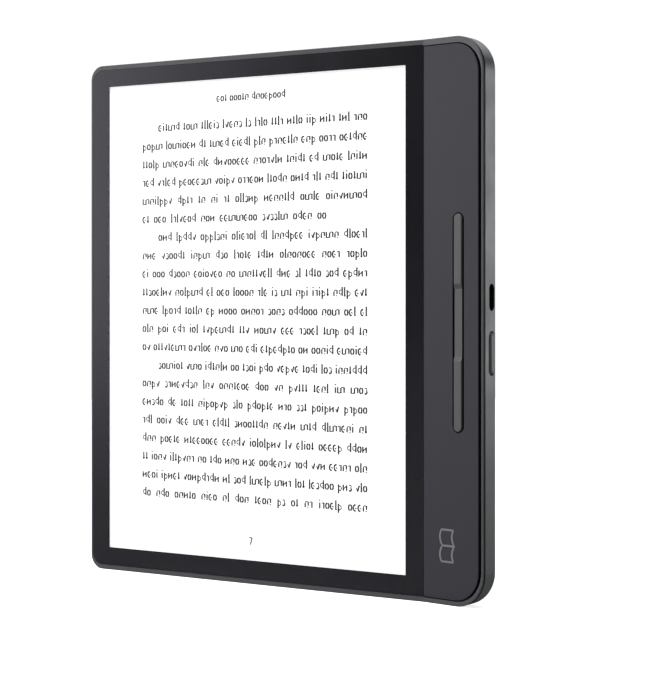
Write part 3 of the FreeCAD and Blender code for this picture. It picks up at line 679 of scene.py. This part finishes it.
def grip_mark():
    """A plain open-book sign, turned to read up the grip; its points are in millimetres."""
    pen = Strokes(grip_surface(), 0.02 * MM)
    cx, cz = 66.0 * MM, 18.6 * MM
    thick = 0.62 * MM
    page_steps = (0.35, 1.2, 2.1, 3.1, 4.1, 5.0)

    def turn(points):
        return [(cx - up * MM, cz + across * MM) for across, up in points]

    for side in (-1, 1):
        top = [(side * x, 2.1 + 0.9 * math.sin(math.pi * x / 5.6)) for x in page_steps]
        foot = [(x, up - 4.7) for x, up in top]
        pen.line(turn(top), thick)
        pen.line(turn(foot), thick)
        pen.line(turn([top[-1], foot[-1]]), thick)
    pen.line(turn([(0, 2.3), (0, -2.9)]), thick)
    paint = ink("grip_mark", (0.30, 0.30, 0.31), 0.06)
    piece("grip_mark", pen.verts, pen.faces, paint, "reader")


grip_mark()


# ---------------------------------------------------------------- floor, light, camera
FLOOR_BOUNCE = 0.42
FLOOR_GLOW = 0.80
BACKDROP = 1.05
FILL = 0.03
LIGHTS = {
    # azimuth and elevation in degrees, width and height in metres, watts, metres from the reader
    "key": (-54, 6, 0.9, 1.7, 14.0, 1.8),
    "front": (0, 62, 1.4, 1.0, 20.0, 1.8),
    "right": (145, 4, 0.5, 0.42, 2.7, 1.2),
    "back": (180, 40, 1.4, 1.0, 6.0, 1.8),
    "top": (0, 88, 2.0, 2.0, 12.0, 1.8),
}
CAMERA_PLACE = (0.36197, -0.52354, 0.09885)
CAMERA_TURN = (math.radians(90), 0, 0.5808)
CAMERA_LENS = 102.30
CAMERA_SHIFT = -0.0711


def floor():
    """A pale round floor that throws back less light than it shows, as a matt cloth would."""
    verts = [(0, 0, 0)]
    faces = []
    radii = (0.3, 0.7, 1.1)
    count = 64
    for radius in radii:
        for i in range(count):
            t = math.tau * i / count
            verts.append((radius * math.cos(t), radius * math.sin(t), 0))
    for i in range(count):
        faces.append((0, 1 + i, 1 + (i + 1) % count))
    for r in range(len(radii) - 1):
        a = 1 + r * count
        b = a + count
        for i in range(count):
            j = (i + 1) % count
            faces.append((a + i, b + i, b + j, a + j))
    mesh = bpy.data.meshes.new("floor")
    mesh.from_pydata(verts, [], faces)
    g = Graph("floor_pale")
    seen = g.node("ShaderNodeLightPath").outputs["Is Camera Ray"]
    pale = g.blend(g.noise(0.4), (0.93, 0.93, 0.93, 1), (0.95, 0.95, 0.95, 1))
    mesh.materials.append(
        g.principled(
            Base_Color=g.blend(seen, (FLOOR_BOUNCE, FLOOR_BOUNCE, FLOOR_BOUNCE, 1), pale),
            Roughness=0.9,
            Specular_IOR_Level=0.0,
            Emission_Color=WHITE,
            Emission_Strength=g.maths("MULTIPLY", seen, FLOOR_GLOW),
        )
    )
    made = bpy.data.objects.new("floor", mesh)
    made.location.z = CAD_BOX[0].z
    bpy.context.scene.collection.objects.link(made)


def softbox(name, azimuth, elevation, width, height, power, distance):
    """A rectangular lamp that looks at the reader: azimuth 0 faces the screen and 90 is on its right."""
    a = math.radians(azimuth)
    e = math.radians(elevation)
    aim = Vector((0, 0, 0.09))
    back = Vector((math.sin(a) * math.cos(e), -math.cos(a) * math.cos(e), math.sin(e)))
    data = bpy.data.lights.new(name, "AREA")
    data.shape = "RECTANGLE"
    data.size = width
    data.size_y = height
    data.energy = power
    made = bpy.data.objects.new(name, data)
    made.location = aim + back * distance
    made.rotation_euler = (-back).to_track_quat("-Z", "Y").to_euler()
    made.visible_camera = False
    bpy.context.scene.collection.objects.link(made)


def world():
    """White backdrop for the eye, a dimmer even fill for the light."""
    made = bpy.data.worlds.new("studio")
    made.use_nodes = True
    tree = made.node_tree
    tree.nodes.clear()
    eye = tree.nodes.new("ShaderNodeBackground")
    eye.inputs["Color"].default_value = WHITE
    eye.inputs["Strength"].default_value = BACKDROP
    fill = tree.nodes.new("ShaderNodeBackground")
    fill.inputs["Color"].default_value = (0.93, 0.96, 1.0, 1)
    fill.inputs["Strength"].default_value = FILL
    path = tree.nodes.new("ShaderNodeLightPath")
    mix = tree.nodes.new("ShaderNodeMixShader")
    out = tree.nodes.new("ShaderNodeOutputWorld")
    tree.links.new(path.outputs["Is Camera Ray"], mix.inputs[0])
    tree.links.new(fill.outputs[0], mix.inputs[1])
    tree.links.new(eye.outputs[0], mix.inputs[2])
    tree.links.new(mix.outputs[0], out.inputs[0])
    bpy.context.scene.world = made


def camera():
    data = bpy.data.cameras.new("camera")
    data.lens = CAMERA_LENS
    data.sensor_width = 36.0
    data.shift_y = CAMERA_SHIFT
    data.clip_start = 0.05
    made = bpy.data.objects.new("camera", data)
    made.location = CAMERA_PLACE
    made.rotation_euler = CAMERA_TURN
    bpy.context.scene.collection.objects.link(made)
    bpy.context.scene.camera = made


floor()
world()
for lamp, numbers in LIGHTS.items():
    softbox(lamp, *numbers)
camera()
bpy.context.scene.view_settings.view_transform = "Standard"
